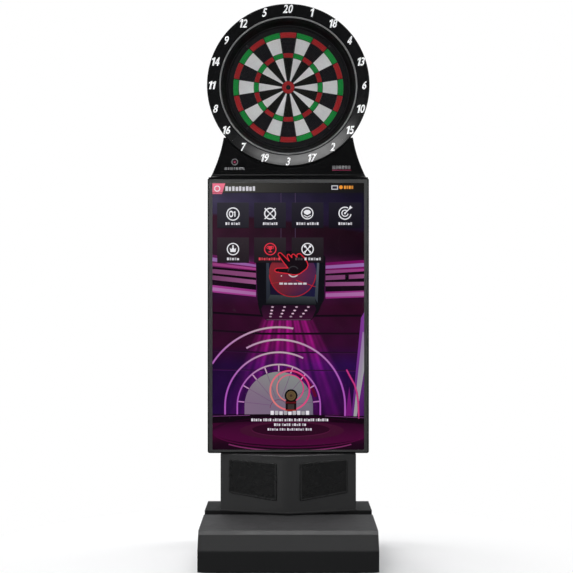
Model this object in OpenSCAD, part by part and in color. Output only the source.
// Free-standing electronic dartboard: soft-tip target head on a neck, portrait touch display,
// V-fronted speaker cabinet and a low wide base on levelling feet and casters.
// Frame: origin on the floor under the middle of the base, +Z up, players stand towards -Y, +X to their right.
// All sizes in millimetres.

/* [Base] */
// Width of the base
base_w = 595; // [585:1:610]
// Depth of the base, front to back
base_d = 617; // [617:1:625]
// Gap between the floor and the bottom of the covers
skirt_gap = 8; // [7:0.5:10]
// Height of the front face below its crease, above the skirt
crease_h = 69; // [66:1:72]
// Wall of the base covers
cover_t = 3; // [2.5:0.5:3.5]

/* [Speaker cabinet] */
// Width of the speaker cabinet
column_w = 482; // [470:1:490]
// Height of the speaker cabinet top above the skirt
column_top = 341; // [338:1:343]
// How far the middle of the V front stands ahead of its sides
prow = 71; // [65:1:75]
// Radius of the speaker opening in each baffle
driver_r = 50; // [46:1:52]

/* [Display] */
// Outer width of the display housing
disp_w = 573; // [570:1:576]
// Outer height of the display housing
disp_h = 977; // [974:1:980]
// Rim of the black housing seen around the bezel
disp_rim = 4.5; // [4:0.5:5]
// Width of the glass opening
view_w = 539; // [535:1:542]
// Height of the glass opening
view_h = 948; // [944:1:950]

/* [Head] */
// Height of the bull above the floor with the feet wound in
bull_z = 1660; // [1655:1:1665]
// Outer radius of the number ring
ring_ro = 289.5; // [286:0.5:290]
// Inner radius of the number ring
ring_ri = 246.5; // [246:0.5:248]
// Depth from the front of the number ring to the segment faces
recess = 58; // [57:1:60]

/* [Target] */
// Outer radius of the double ring
r_double_o = 198.5; // [197:0.5:199]
// Inner radius of the double ring
r_double_i = 178.5; // [177:0.5:180]
// Outer radius of the triple ring
r_triple_o = 124; // [121:0.5:125]
// Inner radius of the triple ring
r_triple_i = 106.5; // [103:0.5:108]
// Outer radius of the outer bull
r_bull_o = 21.8; // [21:0.2:23]
// Radius of the inner bull
r_bull_i = 8.6; // [8:0.2:9.4]
// Thickness of the walls that run out from the bull
wall_radial = 2.6; // [2:0.2:3]
// Thickness of the walls that run round the target
wall_ring = 1.2; // [1:0.1:1.4]
// Gap between a segment and the walls round it
seg_gap = 0.35; // [0.3:0.05:0.5]
// Depth of a segment
seg_d = 9; // [8:0.5:9.5]

/* [Feet and casters] */
// Radius of a levelling pad
pad_r = 22; // [18:1:24]
// Radius of a levelling stud
stud_r = 6; // [5:0.5:6]
// Radius of a caster wheel
wheel_r = 25; // [24:0.5:25]
// Half the distance between the left and right feet
foot_x = 262; // [258:1:264]

/* [Hidden] */
$fn = 96;
eps = 0.01;

// distance behind the front of the base, as a Y coordinate
function Y(d) = d - base_d / 2;
g = skirt_gap;

// base profile: distance behind the front, height above the floor
z_crease = g + crease_h;
z_bevel_lo = g + 116.4;
z_bevel_hi = 135.8;
z_tread = g + 131.5;
z_joggle = g + 118;
z_plate = g + 138;
d_tread = 354;
d_split = 402;
d_prow = d_split - prow;
z_col0 = z_plate;
z_col1 = g + column_top;
col_back = Y(600);
alpha = atan(prow / (column_w / 2));

// display
y_disp = Y(391);
z_disp0 = g + 343;
z_disp1 = z_disp0 + disp_h;
bezel_w = disp_w - 2 * disp_rim;
bezel_h = disp_h - 2 * disp_rim;
z_bezel0 = z_disp0 + disp_rim;
view_z0 = z_bezel0 + 7.5;
y_house_back = y_disp + 60;

// head
y_ring = Y(400);
y_ring_back = y_ring + 22;
y_seg = y_ring + recess;
y_neck = y_ring + 12;
y_head_back = y_seg + 86;
z_neck0 = z_disp1 + 1;
z_neck1 = z_neck0 + 145;
neck_top_hw = 230.5;
neck_bot_hw = 278.5;

// spine
tube = 35;
tube_x = 120;
y_tube = y_seg + 38;

// cabinet behind the display
cab_w = 472;
cab_t = 2;
y_cab = y_house_back + 1.5;
z_cab1 = z_disp1 + 2;
door_z0 = 424;
door_z1 = 1236;
hinge_x = -225;
hinge_y = col_back + 4.5;
hinge_zs = [500, 1100];
lock_x = 196;
lock_z = 830;
fan_z = 1285;

// feet and casters
foot_front_y = -235;
foot_rear_y = 272;
feet = [[-foot_x, foot_front_y], [foot_x, foot_front_y], [-foot_x, foot_rear_y], [foot_x, foot_rear_y]];
casters = [[-215, -140], [215, -140], [-215, 180], [215, 180]];
wheel_z = 4 + wheel_r;
trail = 20;
z_deck = 70;

// unit vector
function unit(v) = v / norm(v);
// one rounded corner of a polygon, as points on the arc
function corner(a, p, b, r, n = 5) =
  r <= 0 ? [p] :
  let (u = unit(a - p), v = unit(b - p), half = acos(max(-1, min(1, u * v))) / 2,
       t = r / tan(half), c = p + unit(u + v) * r / sin(half),
       s = p + u * t - c, e = p + v * t - c,
       a0 = atan2(s[1], s[0]), a1 = atan2(e[1], e[0]), d0 = a1 - a0,
       d = d0 > 180 ? d0 - 360 : (d0 < -180 ? d0 + 360 : d0))
  [for (i = [0:n]) c + r * [cos(a0 + d * i / n), sin(a0 + d * i / n)]];
// polygon with each corner rounded by its own radius
function rounded(pts, rs, n = 5) = let (m = len(pts))
  [for (i = [0:m - 1]) each corner(pts[(i + m - 1) % m], pts[i], pts[(i + 1) % m], is_list(rs) ? rs[i] : rs, n)];
// rectangle from its centre
function rect(w, h) = [[-w / 2, -h / 2], [w / 2, -h / 2], [w / 2, h / 2], [-w / 2, h / 2]];
function mirror_x(pts) = concat(pts, [for (i = [len(pts) - 1:-1:0]) [-pts[i][0], pts[i][1]]]);

// a (Y, Z) profile swept along X, centred
module sweep_x(w, pts) { translate([-w / 2, 0, 0]) rotate([90, 0, 90]) linear_extrude(w) polygon(pts); }
// an (X, Z) outline from y0 to y1
module slab_y(y0, y1, pts) { translate([0, y1, 0]) rotate([90, 0, 0]) linear_extrude(y1 - y0) polygon(pts); }
// turned about the bull's axis, local +Z towards the players, from the plane y0
module on_bull(y0) { translate([0, y0, bull_z]) rotate([90, 0, 0]) children(); }
// box between two corners
module block(a, b) { translate(a) cube(b - a); }
// on the right (1) or left (-1) angled baffle: X along it from the prow, Y into it, Z up
module on_baffle(side) {
  mirror([side < 0 ? 1 : 0, 0, 0]) translate([0, Y(d_prow), 0]) rotate([0, 0, alpha]) children();
}

// ---------- base ----------
front_profile = rounded([[Y(0), g], [Y(0), z_crease], [Y(38), z_bevel_lo], [Y(53.5), z_bevel_hi], [Y(d_tread), z_tread],
  [Y(d_tread), z_joggle], [Y(d_split) - 1.5, z_joggle], [Y(d_split) - 1.5, g]], [0, 10, 3, 3, 2, 0, 0, 0]);
front_inner = [[Y(cover_t), -1], [Y(cover_t), z_crease + 0.5], [Y(38) + 2.2, z_bevel_lo - 2.2], [Y(53.5) + 0.9, z_bevel_hi - cover_t],
  [Y(d_tread) - cover_t, z_tread - cover_t - 0.05], [Y(d_tread) - cover_t, z_joggle - cover_t], [Y(d_split) + 2, z_joggle - cover_t], [Y(d_split) + 2, -1]];
side_screws = [[Y(90), 62], [Y(300), 62], [Y(440), 62], [Y(580), 62]];
module side_screw_holes(r) {
  for (p = side_screws) translate([-base_w / 2 - 5, p[0], p[1]]) rotate([0, 90, 0]) cylinder(r = r, h = base_w + 10);
}
module base_front_cover() {
  color([0.2, 0.2, 0.2]) difference() {
    sweep_x(base_w, front_profile);
    sweep_x(base_w - 2 * cover_t, front_inner);
    side_screw_holes(2.4);
  }
}
plate_plan = [[-base_w / 2, Y(d_split)], [-column_w / 2, Y(d_split)], [0, Y(d_prow)], [column_w / 2, Y(d_split)], [base_w / 2, Y(d_split)],
  [base_w / 2, Y(base_d)], [-base_w / 2, Y(base_d)]];
module base_rear_cover() {
  color([0.2, 0.2, 0.2]) difference() {
    union() {
      translate([0, 0, z_plate - 4]) linear_extrude(4) polygon(plate_plan);
      difference() {
        block([-base_w / 2, Y(d_split), g], [base_w / 2, Y(base_d), z_plate - 1]);
        block([-base_w / 2 + cover_t, Y(d_split) + cover_t, g - 1], [base_w / 2 - cover_t, Y(base_d) - cover_t, z_plate]);
        block([-base_w / 2 + cover_t, Y(d_split) - 1, g - 1], [base_w / 2 - cover_t, Y(d_split) + cover_t + 1, z_deck + 6]);
      }
    }
    for (x = [-tube_x, tube_x]) block([x - 20, y_tube - 3, z_plate - 10], [x + 20, y_tube + tube + 3, z_plate + 1]);
    translate([150, y_tube + tube + 8, z_plate - 10]) cylinder(r = 12, h = 20);
    side_screw_holes(2.4);
  }
}
module base_chassis() {
  hw = base_w / 2 - cover_t - 0.5;
  color([0.16, 0.16, 0.17]) difference() {
    union() {
      block([-hw, Y(0) + 4, z_deck], [hw, Y(base_d) - 4, z_deck + 4]);
      difference() {
        block([-hw, Y(0) + 4, z_deck - 16], [hw, Y(base_d) - 4, z_deck + 1]);
        block([-hw + 3, Y(0) + 7, z_deck - 17], [hw - 3, Y(base_d) - 7, z_deck + 2]);
      }
      for (p = feet) translate([p[0], p[1], 30]) cylinder(r = 14, h = z_deck - 29);
    }
    for (p = feet) {
      translate([p[0], p[1], 20]) cylinder(r = stud_r + 0.06, h = 60);
      translate([p[0], p[1], 48]) cylinder(r = 9, h = 40);
    }
    for (x = [-150, 150], y = [-200, 200]) translate([x, y, z_deck - 5]) cylinder(r = 5.5, h = 20);
    side_screw_holes(2.1);
  }
}
module caster_plates() {
  color([0.62, 0.63, 0.65]) for (p = casters) translate([p[0], p[1], 0]) union() {
    translate([-25, -25, z_deck - 4]) cube([50, 50, 4]);
    translate([0, 0, 55]) cylinder(r = 5, h = z_deck - 4 - 55 + 1);
    translate([0, 0, 53.9]) cylinder(r = 8, h = 2.6);
  }
}
module caster_fork(i) {
  p = casters[i];
  color([0.62, 0.63, 0.65]) translate([p[0], p[1], 0]) {
    difference() {
      union() {
        translate([0, 0, 57]) cylinder(r = 18, h = 8.6);
        for (s = [-1, 1]) translate([s * 13.5, 0, 0]) rotate([90, 0, 90]) translate([0, 0, -1.5]) linear_extrude(3)
          polygon(rounded([[-11, 58.5], [12, 58.5], [trail + 8, wheel_z + 8], [trail + 8, wheel_z - 8], [trail - 8, wheel_z - 8], [-11, 50]], [0, 0, 6, 6, 6, 4]));
      }
      translate([0, 0, 50]) cylinder(r = 5.06, h = 20);
    }
    translate([-16.5, trail, wheel_z]) rotate([0, 90, 0]) cylinder(r = 3, h = 33);
    for (s = [-1, 1]) translate([s * 17.2, trail, wheel_z]) rotate([0, 90, 0]) cylinder(r = 5, h = 4.6, center = true);
  }
}
module caster_wheel(i) {
  p = casters[i];
  color([0.08, 0.08, 0.08]) translate([p[0], p[1] + trail, wheel_z]) rotate([0, 90, 0])
    rotate_extrude() polygon(rounded([[3.06, -11.5], [7, -11.5], [7, -8], [18, -8], [18, -10], [wheel_r, -10], [wheel_r, 10], [18, 10], [18, 8], [7, 8], [7, 11.5], [3.06, 11.5]],
      [0, 0, 0, 0, 0, 3, 3, 0, 0, 0, 0, 0], 3));
}
module levelling_foot(i) {
  p = feet[i];
  color([0.45, 0.46, 0.48]) translate([p[0], p[1], 0]) union() {
    rotate_extrude() polygon([[0, 0], [pad_r, 0], [pad_r, 4], [pad_r - 6, 7], [10, 9], [0, 9]]);
    translate([0, 0, 8]) cylinder(r = 10, h = 7, $fn = 6);
    translate([0, 0, 14]) cylinder(r = stud_r, h = 106);
  }
}

// ---------- speaker cabinet ----------
col_plan = [[-column_w / 2, Y(d_split)], [0, Y(d_prow)], [column_w / 2, Y(d_split)], [column_w / 2, col_back], [-column_w / 2, col_back]];
col_t = 8;
col_inner = [[-column_w / 2 + col_t, Y(d_split) + col_t - 2], [0, Y(d_prow) + col_t * 1.05], [column_w / 2 - col_t, Y(d_split) + col_t - 2],
  [column_w / 2 - col_t, col_back - 6], [-column_w / 2 + col_t, col_back - 6]];
foot_plan = [[-column_w / 2 - 2, Y(d_split) - 2], [0, Y(d_prow) - 3], [column_w / 2 + 2, Y(d_split) - 2], [column_w / 2 + 2, col_back], [-column_w / 2 - 2, col_back]];
// grille outline on the baffle: X along it, Z up
grille_pts = [[42.5, g + 179], [220, g + 202.3], [220, g + 320.7], [42.5, g + 312.5]];
function grow(pts, k) = let (c = [131, g + 254]) [for (p = pts) p + k * [sign(p[0] - c[0]), sign(p[1] - c[1])]];
module baffle_slab(pts, y0, y1) { translate([0, y1, 0]) rotate([90, 0, 0]) linear_extrude(y1 - y0) polygon(pts); }
driver_pos = [131, g + 252];
module speaker_cabinet() {
  color([0.17, 0.17, 0.17]) difference() {
    union() {
      translate([0, 0, z_col0]) linear_extrude(z_col1 - z_col0 - 3) polygon(col_plan);
      translate([0, 0, z_col0]) linear_extrude(4) polygon(foot_plan);
      hull() {
        translate([0, 0, z_col1 - 4]) linear_extrude(1) polygon(col_plan);
        translate([0, 0, z_col1 - 0.5]) linear_extrude(0.5) polygon([[-column_w / 2 + 3, Y(d_split) + 3], [0, Y(d_prow) + 3.2], [column_w / 2 - 3, Y(d_split) + 3], [column_w / 2 - 3, col_back - 3], [-column_w / 2 + 3, col_back - 3]]);
      }
    }
    translate([0, 0, z_col0 + 6]) linear_extrude(z_col1 - z_col0 - 12) polygon(col_inner);
    for (s = [-1, 1]) on_baffle(s) {
      baffle_slab(rounded(grow(grille_pts, 0.6), 7), -5, 3.4);
      translate([driver_pos[0], -1, driver_pos[1]]) rotate([-90, 0, 0]) cylinder(r = driver_r, h = 20);
    }
    for (x = [-tube_x, tube_x]) block([x - 20, y_tube - 3, z_col0 - 5], [x + 20, y_tube + tube + 3, z_col1 + 5]);
    translate([150, y_tube + tube + 8, z_col0 - 5]) cylinder(r = 12, h = 250);
    block([-26.5, col_back - 20, 180], [26.5, col_back + 1, 240]);
  }
}
module speaker_grille(s) {
  color([0.09, 0.09, 0.09]) on_baffle(s) difference() {
    baffle_slab(rounded(grille_pts, 6), -1.5, 3);
    baffle_slab(rounded(grow(grille_pts, -3), 4), 0, 4);
  }
}
module speaker_drivers() {
  color([0.12, 0.12, 0.13]) for (s = [-1, 1]) on_baffle(s) translate([driver_pos[0], 8.8, driver_pos[1]]) rotate([-90, 0, 0])
    rotate_extrude() polygon([[49, 0], [58, 0], [58, 3], [50, 3], [30, 30], [36, 30], [36, 48], [0, 48], [0, 34], [24, 34], [24, 28], [49, 0.5]]);
}
module speaker_cone(s) {
  color([0.05, 0.05, 0.055]) on_baffle(s) translate([driver_pos[0], 6.4, driver_pos[1]]) rotate([-90, 0, 0])
    rotate_extrude() polygon([[0, 14], [6, 14.5], [11, 17], [14, 20], [38, 4.5], [41, 1.2], [44, 0.6], [47, 1.8], [47, 2.3], [44, 2.3], [41, 3], [38.5, 5.7], [14, 21.8], [10, 18.5], [0, 15.5]]);
}

// ---------- spine ----------
module spine_frame() {
  color([0.25, 0.26, 0.28]) union() {
    for (x = [-tube_x, tube_x]) difference() {
      block([x - tube / 2, y_tube, z_deck + 4], [x + tube / 2, y_tube + tube, 1800]);
      block([x - tube / 2 + 2, y_tube + 2, z_deck + 10], [x + tube / 2 - 2, y_tube + tube - 2, 1794]);
    }
    for (x = [-tube_x, tube_x]) difference() {
      block([x - 35, y_tube - 14, z_deck + 4], [x + 35, y_tube + tube + 14, z_deck + 10]);
      for (a = [-27, 27]) translate([x + a, y_tube - 8, z_deck]) cylinder(r = 4, h = 20);
      for (a = [-27, 27]) translate([x + a, y_tube + tube + 8, z_deck]) cylinder(r = 4, h = 20);
    }
    for (z = [620, 980, 1400, 1520, 1760]) block([-tube_x + 10, y_tube + 4, z], [tube_x - 10, y_tube + tube - 4, z + 30]);
  }
}

// ---------- display ----------
function view_rect(k) = [for (p = rect(view_w + 2 * k, view_h + 2 * k)) p + [0, view_z0 + view_h / 2]];
module display_bezel() {
  zc = z_bezel0 + bezel_h / 2;
  color([0.33, 0.33, 0.33]) difference() {
    slab_y(y_disp, y_disp + 14, rounded([for (p = rect(bezel_w, bezel_h)) p + [0, zc]], 4));
    slab_y(y_disp - 1, y_disp + 15, rounded(view_rect(0), 1.5));
    slab_y(y_disp + 2.5, y_disp + 15, view_rect(4));
  }
}
module touch_glass() {
  color([0.1, 0.1, 0.12, 0.4]) slab_y(y_disp + 2.7, y_disp + 6.7, rounded(view_rect(3.5), 2));
}
module lcd_panel() {
  color([0.3, 0.05, 0.25]) union() {
    slab_y(y_disp + 7.2, y_disp + 24, view_rect(2));
    slab_y(y_disp + 23, y_disp + 40, [for (p = rect(420, 600)) p + [0, view_z0 + view_h / 2]]);
  }
}
module display_housing() {
  zc = z_disp0 + disp_h / 2;
  color([0.03, 0.03, 0.03]) difference() {
    slab_y(y_disp + 3, y_house_back, rounded([for (p = rect(disp_w, disp_h)) p + [0, zc]], 7));
    slab_y(y_disp, y_house_back - 2.5, rounded([for (p = rect(bezel_w + 1.2, bezel_h + 1.2)) p + [0, zc]], 4.6));
    for (x = [-200, 200], z = [-100, 100]) translate([x, y_house_back - 10, zc + z]) rotate([-90, 0, 0]) cylinder(r = 3.2, h = 20);
    block([-40, y_house_back - 10, zc - 30], [40, y_house_back + 5, zc + 30]);
    for (k = [0:11], x = [-130, 130]) block([x - 50, y_house_back - 10, z_disp1 - 120 + k * 7], [x + 50, y_house_back + 5, z_disp1 - 117 + k * 7]);
  }
}
module display_bracket() {
  zc = z_disp0 + disp_h / 2;
  color([0.28, 0.28, 0.3]) difference() {
    union() {
      for (z = [-100, 100]) block([-212, y_house_back, zc + z - 15], [212, y_house_back + 3, zc + z + 15]);
      for (x = [-tube_x, tube_x]) {
        block([x - 15, y_house_back + 3 - eps, zc - 115], [x + 15, y_tube, zc + 115]);
      }
    }
    for (x = [-200, 200], z = [-100, 100]) translate([x, y_house_back - 10, zc + z]) rotate([-90, 0, 0]) cylinder(r = 3.2, h = 20);
    for (x = [-tube_x, tube_x]) block([x - 12.5, y_house_back + 5.5, zc - 120], [x + 12.5, y_tube - 2.5, zc + 120]);
  }
}

// ---------- cabinet behind the display ----------
module ring_slots(rs, w, h, gap = 5) {
  for (r = rs, k = [0:3]) rotate([0, 0, k * 90 + 0]) rotate([0, 0, gap / r * 57.3 / 2])
    rotate_extrude(angle = 90 - gap / r * 57.3) translate([r - w / 2, 0]) square([w, h]);
}
module cabinet_shell() {
  color([0.14, 0.14, 0.15]) union() {
    difference() {
      block([-cab_w / 2, y_cab, z_col1], [cab_w / 2, col_back, z_cab1]);
      block([-cab_w / 2 + cab_t, y_cab - 1, z_col1 - 1], [cab_w / 2 - cab_t, col_back - cab_t, z_cab1 - cab_t]);
      block([-205, col_back - 10, door_z0 + 12], [205, col_back + 5, door_z1 - 12]);
      for (x = [-tube_x, tube_x]) block([x - 20, y_tube - 3, z_cab1 - 10], [x + 20, y_tube + tube + 3, z_cab1 + 5]);
      translate([160, y_tube + tube / 2, z_cab1 - 10]) cylinder(r = 12, h = 20);
      translate([0, col_back + 2, fan_z]) rotate([90, 0, 0]) ring_slots([12, 20, 28, 36], 5, 10);
      for (k = [0:7], s = [-1, 1]) translate([s * (cab_w / 2 - 5), y_cab + 40, 1080 + k * 14]) cube([20, 80, 5], center = true);
      for (x = [-215, 215], z = [400, 1260]) translate([x, col_back - 10, z]) rotate([-90, 0, 0]) cylinder(r = 4.2, h = 20);
    }
    difference() {
      for (z = hinge_zs, k = [0, 42]) {
        translate([hinge_x, hinge_y, z + k]) cylinder(r = 4.5, h = 18);
        block([-234, col_back - 1, z + k], [hinge_x, hinge_y, z + k + 18]);
      }
      for (z = hinge_zs) translate([hinge_x, hinge_y, z - 1]) cylinder(r = 2.5, h = 62);
    }
  }
}
module service_door() {
  y0 = col_back + 1.5;
  y1 = col_back + 7.5;
  color([0.15, 0.15, 0.16]) difference() {
    union() {
      difference() {
        slab_y(y0, y1, rounded([[-219, door_z0], [219, door_z0], [219, door_z1], [-219, door_z1]], 3));
        block([-217, y0 - 1, door_z0 + 2], [217, y1 - 2, door_z1 - 2]);
      }
      for (z = hinge_zs) {
        translate([hinge_x, hinge_y, z + 18.6]) cylinder(r = 4.5, h = 22.8);
        block([hinge_x, hinge_y, z + 18.6], [-216, hinge_y + 2.6, z + 41.4]);
      }
      translate([lock_x, y1 - 5, lock_z]) rotate([-90, 0, 0]) cylinder(r = 15, h = 4);
    }
    for (z = hinge_zs) translate([hinge_x, hinge_y, z + 10]) cylinder(r = 2.56, h = 40);
    translate([lock_x, y0 - 5, lock_z]) rotate([-90, 0, 0]) cylinder(r = 9.05, h = 20);
    for (k = [0:9], x = [-110, 0, 110]) translate([x, y1, 500 + k * 12]) cube([80, 20, 5], center = true);
  }
}
module door_lock() {
  color([0.75, 0.76, 0.78]) difference() {
    union() {
      translate([lock_x, col_back - 8, lock_z]) rotate([-90, 0, 0]) cylinder(r = 9, h = 16);
      translate([lock_x, col_back + 7.7, lock_z]) rotate([-90, 0, 0]) cylinder(r = 12, h = 2.2);
      slab_y(col_back - 10, col_back - 7.5, rounded([[lock_x - 8, lock_z - 34], [lock_x + 8, lock_z - 34], [lock_x + 8, lock_z + 8], [lock_x - 8, lock_z + 8]], 5));
    }
    block([lock_x - 1, col_back + 5, lock_z - 5], [lock_x + 1, col_back + 12, lock_z + 5]);
  }
}
module game_computer() {
  y0 = y_tube + tube + 1;
  color([0.35, 0.36, 0.38]) difference() {
    block([-130, y0, 700], [130, y0 + 58, 1000]);
    block([-128.5, y0 + 1.5, 701.5], [128.5, y0 + 56.5, 998.5]);
    for (k = [0:13]) block([-90, y0 + 50, 730 + k * 9], [90, y0 + 70, 733 + k * 9]);
    block([-100, y0 + 20, 690], [40, y0 + 45, 704]);
  }
}
module power_supply() {
  y0 = y_tube + tube + 1;
  color([0.72, 0.73, 0.74]) difference() {
    block([-80, y0, 480], [80, y0 + 45, 580]);
    for (k = [0:10]) block([-60, y0 + 40, 492 + k * 7], [60, y0 + 50, 494.5 + k * 7]);
  }
}
module exhaust_fan_frame() {
  y0 = col_back - cab_t - 25;
  color([0.06, 0.06, 0.06]) union() {
    difference() {
      block([-40, y0, fan_z - 40], [40, y0 + 25, fan_z + 40]);
      translate([0, y0 - 1, fan_z]) rotate([-90, 0, 0]) cylinder(r = 38, h = 27);
      for (x = [-35.7, 35.7], z = [-35.7, 35.7]) translate([x, y0 - 1, fan_z + z]) rotate([-90, 0, 0]) cylinder(r = 2.15, h = 27);
    }
    for (a = [45:90:315]) translate([0, y0, fan_z]) rotate([0, a, 0]) block([14, 0, -2], [39, 3, 2]);
    translate([0, y0, fan_z]) rotate([-90, 0, 0]) cylinder(r = 15, h = 4);
    translate([0, y0, fan_z]) rotate([-90, 0, 0]) cylinder(r = 2, h = 20);
  }
}
module exhaust_fan_rotor() {
  y0 = col_back - cab_t - 25;
  color([0.1, 0.1, 0.1]) translate([0, y0 + 5, fan_z]) rotate([-90, 0, 0]) difference() {
    union() {
      cylinder(r = 14, h = 17);
      for (k = [0:6]) rotate([0, 0, k * 360 / 7]) translate([12, 0, 8.5]) rotate([38, 0, 0]) translate([0, -8, -0.8]) cube([24, 16, 1.6]);
    }
    translate([0, 0, -1]) cylinder(r = 2.05, h = 17.2);
  }
}
module power_inlet() {
  color([0.05, 0.05, 0.05]) difference() {
    union() {
      block([-26, col_back - 26, 180.5], [26, col_back, 239.5]);
      slab_y(col_back, col_back + 2.5, rounded([[-31, 175], [31, 175], [31, 245], [-31, 245]], 4));
    }
    slab_y(col_back - 18, col_back + 3, rounded([[-12.5, 186], [12.5, 186], [12.5, 198], [8, 203], [-8, 203], [-12.5, 198]], 1));
    difference() {
      block([-11, col_back - 16, 212], [11, col_back + 3, 236]);
      translate([-12, col_back - 4, 224]) rotate([0, 90, 0]) cylinder(r = 1.5, h = 24);
    }
  }
}
module power_rocker() {
  color([0.5, 0.06, 0.05]) translate([0, col_back - 4, 224]) rotate([9, 0, 0]) difference() {
    rotate([90, 0, 90]) translate([0, 0, -10.4]) linear_extrude(20.8) polygon(rounded([[-7, -6], [-7, 6], [3.2, 10.2], [4.6, 9.6], [2.6, 0], [4.6, -9.6], [3.2, -10.2]], [3, 3, 0.8, 0.8, 8, 0.8, 0.8], 4));
    translate([-12, 0, 0]) rotate([0, 90, 0]) cylinder(r = 1.56, h = 24);
  }
}

// ---------- head ----------
// half outline of the neck from bottom to top: a shallow concave flare
function neck_side(k = 0, n = 12) = let (x0 = neck_bot_hw + k, x1 = neck_top_hw + k, h = z_neck1 - z_neck0)
  [for (i = [0:n]) let (t = i / n) [x0 + (x1 - x0) * (1.5 * t - 0.5 * t * t), z_neck0 + h * t]];
function neck_outline(k = 0) = mirror_x(neck_side(k));
module head_shell() {
  hd = y_head_back - y_ring_back - 1;
  duct = concat([[neck_bot_hw - 7, z_neck0 + 1.2]], neck_side(-7), [[neck_top_hw - 7, 1560], [-neck_top_hw + 7, 1560]], [for (i = [12:-1:0]) [-neck_side(-7)[i][0], neck_side(-7)[i][1]]], [[-neck_bot_hw + 7, z_neck0 + 1.2]]);
  duct_in = concat([[neck_bot_hw - 9.6, z_neck0 - 5]], neck_side(-9.6), [[neck_top_hw - 9.6, 1570], [-neck_top_hw + 9.6, 1570]], [for (i = [12:-1:0]) [-neck_side(-9.6)[i][0], neck_side(-9.6)[i][1]]], [[-neck_bot_hw + 9.6, z_neck0 - 5]]);
  color([0.05, 0.05, 0.055]) difference() {
    union() {
      on_bull(y_head_back) rotate_extrude() polygon(concat(rounded([[0, 0], [273, 0], [273, hd]], [0, 16, 0], 6), rounded([[270, hd], [270, 2.5], [0, 2.5]], [0, 13, 0], 6)));
      difference() {
        slab_y(y_neck + 5, y_head_back, duct);
        on_bull(y_head_back + 5) cylinder(r = 271.5, h = 200);
        on_bull(y_ring_back + 1) cylinder(r = ring_ro + 0.8, h = 60);
      }
    }
    slab_y(y_neck, y_head_back - 2.5, duct_in);
    for (k = [0:7], x = [-90, 0, 90]) block([x - 35, y_head_back - 5, 1700 + k * 13], [x + 35, y_head_back + 5, 1705 + k * 13]);
    for (a = [30:60:330]) on_bull(y_head_back + 5) rotate([0, 0, a]) translate([240, 0, 0]) cylinder(r = 2.4, h = 12);
  }
}
module neck_panel() {
  color([0.03, 0.03, 0.03]) difference() {
    union() {
      slab_y(y_neck, y_neck + 4, neck_outline());
      // cove that brings the panel forward onto the display
      intersection() {
        difference() {
          block([-290, y_neck - 14, z_neck0], [290, y_neck + 1, z_neck0 + 14]);
          translate([-300, y_neck - 14, z_neck0 + 14]) rotate([0, 90, 0]) cylinder(r = 12, h = 600);
        }
        slab_y(y_neck - 20, y_neck + 2, neck_outline());
      }
      slab_y(y_disp + 4.5, y_neck + 4, rounded([[-283.5, z_neck0 - 0.4], [283.5, z_neck0 - 0.4], [283.5, z_neck0 + 2.4], [-283.5, z_neck0 + 2.4]], [0, 0, 2, 2]));
    }
    on_bull(y_neck + 10) translate([0, 0, -5]) cylinder(r = ring_ro + 0.8, h = 60);
  }
}
ring_profile = rounded([[ring_ro - 3, 0.4], [ring_ro, 0.4], [ring_ro, 22], [ring_ri, 14], [ring_ri, 5], [ring_ri + 3, 5], [ring_ri + 3, 10.6], [ring_ro - 3, 17.4]], [0, 0, 2.5, 1, 0, 0, 0, 0], 4);
module number_ring(a0, a1) {
  on_bull(y_ring_back) rotate([0, 0, a0 + 0.06]) rotate_extrude(angle = a1 - a0 - 0.12) polygon(ring_profile);
}
module number_ring_upper() { color([0.05, 0.05, 0.05]) number_ring(-45, 225); }
module number_ring_lower() { color([0.05, 0.05, 0.05]) number_ring(225, 315); }
module light_guide_ring() {
  color([0.75, 0.76, 0.78]) on_bull(y_ring_back) rotate_extrude() polygon(rounded([[241.4, 3], [246.1, 3], [246.1, 14.4], [241.4, 14.4]], [0, 0, 1.2, 2.2], 5));
}
module catch_funnel() {
  color([0.06, 0.06, 0.06]) on_bull(y_ring_back) rotate_extrude() polygon([[217.8, -35.5], [241.1, 12], [241.1, 2.5], [246, 2.5], [246, 0.5], [243, 0.5], [223.5, -33], [236, -33], [236, -35.5]]);
}

// ---------- target ----------
// wedge k counted clockwise from the top
module wedge(k) { rotate([0, 0, 90 - 18 * k]) children(); }
// one scoring sector between two radii, from z = 0 to h, trimmed parallel to the walls beside it
module sector(r0, r1, h, gap) {
  difference() {
    rotate([0, 0, -9]) rotate_extrude(angle = 18) translate([r0, 0]) square([r1 - r0, h]);
    for (s = [-1, 1]) rotate([0, 0, 9 * s]) translate([0, -wall_radial / 2 - gap, -1]) cube([r1 + 5, wall_radial + 2 * gap, h + 2]);
  }
}
w2 = wall_ring / 2 + seg_gap;
rings = [[r_double_i + w2, r_double_o - seg_gap], [r_triple_o + w2, r_double_i - w2], [r_triple_i + w2, r_triple_o - w2], [r_bull_o + wall_ring + 2 * seg_gap, r_triple_i - w2]];
module segments(ring, odd) {
  on_bull(y_seg + seg_d) for (k = [odd:2:18 + odd]) wedge(k) sector(rings[ring][0], rings[ring][1], seg_d, seg_gap);
}
module double_segments_red() { color([0.5, 0.12, 0.13]) segments(0, 0); }
module double_segments_green() { color([0.08, 0.4, 0.16]) segments(0, 1); }
module outer_single_segments_black() { color([0.1, 0.1, 0.12]) segments(1, 0); }
module outer_single_segments_white() { color([0.7, 0.7, 0.7]) segments(1, 1); }
module triple_segments_red() { color([0.5, 0.12, 0.13]) segments(2, 0); }
module triple_segments_green() { color([0.08, 0.4, 0.16]) segments(2, 1); }
module inner_single_segments_black() { color([0.08, 0.08, 0.07]) segments(3, 0); }
module inner_single_segments_white() { color([0.7, 0.7, 0.7]) segments(3, 1); }
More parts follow.
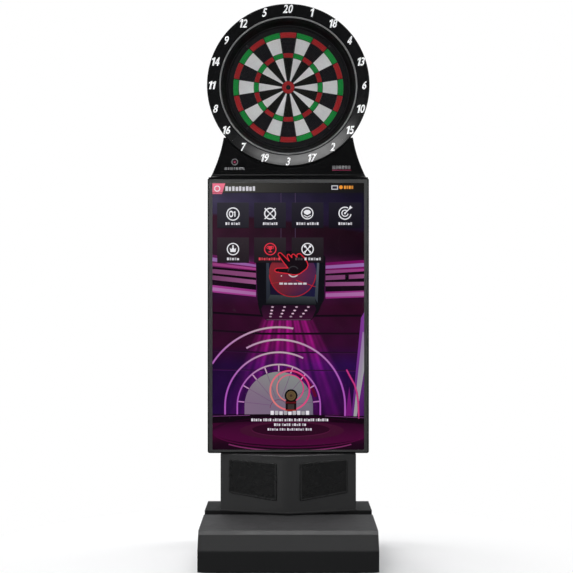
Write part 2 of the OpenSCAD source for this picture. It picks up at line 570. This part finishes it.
module outer_bull_segment() {
  color([0.55, 0.15, 0.15]) on_bull(y_seg + seg_d) difference() {
    cylinder(r = r_bull_o, h = seg_d);
    translate([0, 0, -1]) cylinder(r = r_bull_i + seg_gap, h = seg_d + 2);
  }
}
module inner_bull_segment() {
  color([0.06, 0.06, 0.07]) on_bull(y_seg + seg_d) cylinder(r = r_bull_i, h = seg_d);
}
clip_r = 208;
module target_frame() {
  h = 9.2;
  color([0.03, 0.03, 0.03]) on_bull(y_seg + 0.8 + h) difference() {
    union() {
      difference() { cylinder(r = 217, h = h + 0.6); translate([0, 0, -1]) cylinder(r = r_double_o, h = h + 3); }
      difference() { cylinder(r = r_double_o + 1, h = h); translate([0, 0, -1]) cylinder(r = r_double_o, h = h + 3); }
      for (r = [r_double_i, r_triple_o, r_triple_i]) difference() { cylinder(r = r + wall_ring / 2, h = h); translate([0, 0, -1]) cylinder(r = r - wall_ring / 2, h = h + 2); }
      difference() { cylinder(r = r_bull_o + wall_ring + seg_gap, h = h); translate([0, 0, -1]) cylinder(r = r_bull_o + seg_gap, h = h + 2); }
      for (k = [0:19]) rotate([0, 0, 9 + 18 * k]) translate([r_bull_o + seg_gap + wall_ring / 2, -wall_radial / 2, 0]) cube([r_double_o + 1 - r_bull_o, wall_radial, h]);
    }
    for (a = [45:90:315]) rotate([0, 0, a]) translate([clip_r, 0, -1]) cylinder(r = 2.2, h = 20);
  }
}
module membrane_pad() {
  color([0.75, 0.74, 0.7]) on_bull(y_seg + seg_d + 4.6) difference() {
    cylinder(r = 202, h = 2.4);
  }
}
module sensor_matrix() {
  color([0.55, 0.42, 0.12]) on_bull(y_seg + seg_d + 6) union() {
    cylinder(r = 202, h = 1);
    translate([-30, -225, 0]) cube([60, 40, 1]);
  }
}
module target_backplate() {
  color([0.2, 0.2, 0.21]) on_bull(y_seg + seg_d + 18.2) difference() {
    union() {
      cylinder(r = 236, h = 12);
      difference() { cylinder(r = 217, h = 16.9); translate([0, 0, -1]) cylinder(r = 204, h = 25); }
      for (x = [-tube_x, tube_x], z = [-125, 85]) translate([x, z, -(y_tube - (y_seg + seg_d + 18.2))]) cylinder(r = 9, h = y_tube - (y_seg + seg_d + 18.2) + 1);
    }
    for (a = [45:90:315]) rotate([0, 0, a]) translate([clip_r, 0, 0]) cylinder(r = 2.2, h = 30);
    translate([-34, -226, 9]) cube([68, 25, 20]);
  }
}

// ---------- small parts ----------
module screw(len) { rotate_extrude() polygon([[0, 0], [2, 0], [2, len], [4.2, len], [4.2, len + 1.2], [2.8, len + 2.2], [0, len + 2.2]]); }
module fasteners() {
  color([0.35, 0.35, 0.36]) union() {
    // base cover screws, both sides
    for (p = side_screws) {
      translate([base_w / 2 - 8, p[0], p[1]]) rotate([0, 90, 0]) screw(8.05);
      translate([-base_w / 2 + 8, p[0], p[1]]) rotate([0, -90, 0]) screw(8.05);
    }
    // target frame screws at the diagonals
    for (a = [45:90:315]) on_bull(y_seg + 0.8 + 9.2 - 9.85) rotate([0, 0, a]) translate([clip_r, 0, 0]) rotate([0, 0, 0])
      difference() { rotate_extrude() polygon([[0, -12], [2, -12], [2, 0.1], [4, 0.1], [4, 1], [3, 1.9], [0, 1.9]]); translate([-3, -0.5, 1]) cube([6, 1, 2]); }
    // head shell screws
    for (a = [30:60:330]) on_bull(y_head_back) rotate([0, 0, a]) translate([240, 0, 0]) mirror([0, 0, 1]) translate([0, 0, -8]) screw(8.05);
    // hinge pins of the service door
    for (z = hinge_zs) translate([hinge_x, hinge_y, z - 0.5]) union() { cylinder(r = 2.5, h = 61); translate([0, 0, 60.7]) cylinder(r = 4.2, h = 2); }
    // lock nuts on the levelling studs
    for (p = feet) translate([p[0], p[1], z_deck + 4.2]) difference() { cylinder(r = 11, h = 8, $fn = 6); translate([0, 0, -1]) cylinder(r = stud_r + 0.06, h = 10); }
  }
}
module badges() {
  zb = z_neck0 + 27;
  color([0.6, 0.6, 0.62]) union() {
    slab_y(y_neck - 1.2, y_neck, rounded([[-227, zb], [-155, zb], [-155, zb + 15], [-227, zb + 15]], 4));
    translate([-191, y_neck, zb + 31]) rotate([90, 0, 0]) cylinder(r = 12, h = 1.2);
    slab_y(y_neck - 1.2, y_neck, rounded([[156.5, zb], [223.5, zb], [223.5, zb + 20], [156.5, zb + 20]], 4));
  }
}
module wiring_loom() {
  yc = y_tube + tube + 8;
  yh = y_tube + tube / 2;
  color([0.05, 0.05, 0.05]) union() {
    // trunk from the base to the head, with a step forward under the neck
    translate([150, yc, z_plate + 20]) cylinder(r = 5, h = 1290 - z_plate - 20);
    translate([150, yc, 1286]) rotate([0, 90, 0]) cylinder(r = 5, h = 12);
    translate([160, yh, 1286]) rotate([-90, 0, 0]) cylinder(r = 5, h = yc - yh);
    translate([160, yh, 1284]) cylinder(r = 5, h = 1480 - 1284);
    // branches to the supply, the computer and the display
    translate([80, yc, 530]) rotate([0, 90, 0]) cylinder(r = 4, h = 70);
    translate([130, yc, 850]) rotate([0, 90, 0]) cylinder(r = 4, h = 20);
    translate([150, y_house_back + 8, 1045]) rotate([-90, 0, 0]) cylinder(r = 4, h = yc - y_house_back - 8);
    // mains lead from the inlet
    translate([0, yc + 4, 210]) rotate([0, 90, 0]) cylinder(r = 4, h = 150);
    translate([0, yc + 4, 210]) rotate([-90, 0, 0]) cylinder(r = 4, h = col_back - 26 - yc - 4);
  }
}

base_chassis();
base_front_cover();
base_rear_cover();
caster_plates();
caster_fork(0);  // caster_fork_fl
caster_fork(1);  // caster_fork_fr
caster_fork(2);  // caster_fork_rl
caster_fork(3);  // caster_fork_rr
caster_wheel(0);  // caster_wheel_fl
caster_wheel(1);  // caster_wheel_fr
caster_wheel(2);  // caster_wheel_rl
caster_wheel(3);  // caster_wheel_rr
levelling_foot(0);  // levelling_foot_fl
levelling_foot(1);  // levelling_foot_fr
levelling_foot(2);  // levelling_foot_rl
levelling_foot(3);  // levelling_foot_rr
speaker_cabinet();
speaker_grille(-1);  // speaker_grille_left
speaker_grille(1);  // speaker_grille_right
speaker_drivers();
speaker_cone(-1);  // speaker_cone_left
speaker_cone(1);  // speaker_cone_right
spine_frame();
display_bezel();
display_housing();
touch_glass();
lcd_panel();
display_bracket();
cabinet_shell();
service_door();
door_lock();
game_computer();
power_supply();
exhaust_fan_frame();
exhaust_fan_rotor();
power_inlet();
power_rocker();
head_shell();
neck_panel();
number_ring_upper();
number_ring_lower();
light_guide_ring();
catch_funnel();
target_frame();
double_segments_red();
double_segments_green();
triple_segments_red();
triple_segments_green();
outer_single_segments_black();
outer_single_segments_white();
inner_single_segments_black();
inner_single_segments_white();
outer_bull_segment();
inner_bull_segment();
membrane_pad();
sensor_matrix();
target_backplate();
fasteners();
badges();
wiring_loom();
